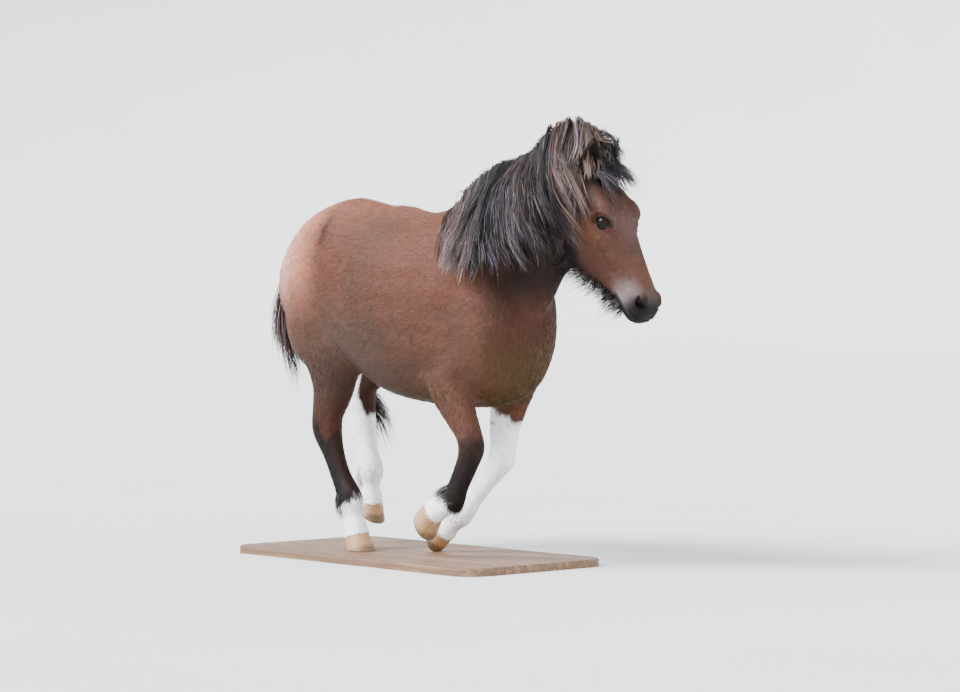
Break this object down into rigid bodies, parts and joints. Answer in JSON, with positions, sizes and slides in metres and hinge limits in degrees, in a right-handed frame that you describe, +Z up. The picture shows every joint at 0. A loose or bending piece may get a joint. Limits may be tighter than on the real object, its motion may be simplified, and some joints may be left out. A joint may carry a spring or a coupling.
{
  "type": "shetland pony",
  "caption": "Life-size still model of a bay shetland pony with white legs and a thick dark mane, caught in mid-step on a flat display base.",
  "frame": {"origin": "centre of the display base's underside", "axes": "+X the way the pony faces, +Y to its left, +Z up"},
  "size_m": [1.4053, 0.4957, 1.1463],
  "materials": {
    "coat": "short bay hair, white on two legs and all pasterns, mealy muzzle",
    "hair": "long coarse black-brown hair with brown tips",
    "hoof": "tan striped horn, satin",
    "eye": "wet dark brown",
    "stand": "pale oiled oak, satin"
  },
  "bodies": {
    "root": {"head": "coat", "neck": "coat", "torso": "coat", "tail": "hair", "leg_fore_right": "coat", "leg_fore_left": "coat", "leg_hind_right": "coat", "leg_hind_left": "coat", "ear_right": "coat", "ear_left": "coat", "eye_right": "eye", "eye_left": "eye", "hoof_fore_right": "hoof", "hoof_fore_left": "hoof", "hoof_hind_right": "hoof", "hoof_hind_left": "hoof", "stand_base": "stand"}
  },
  "joints": []
}
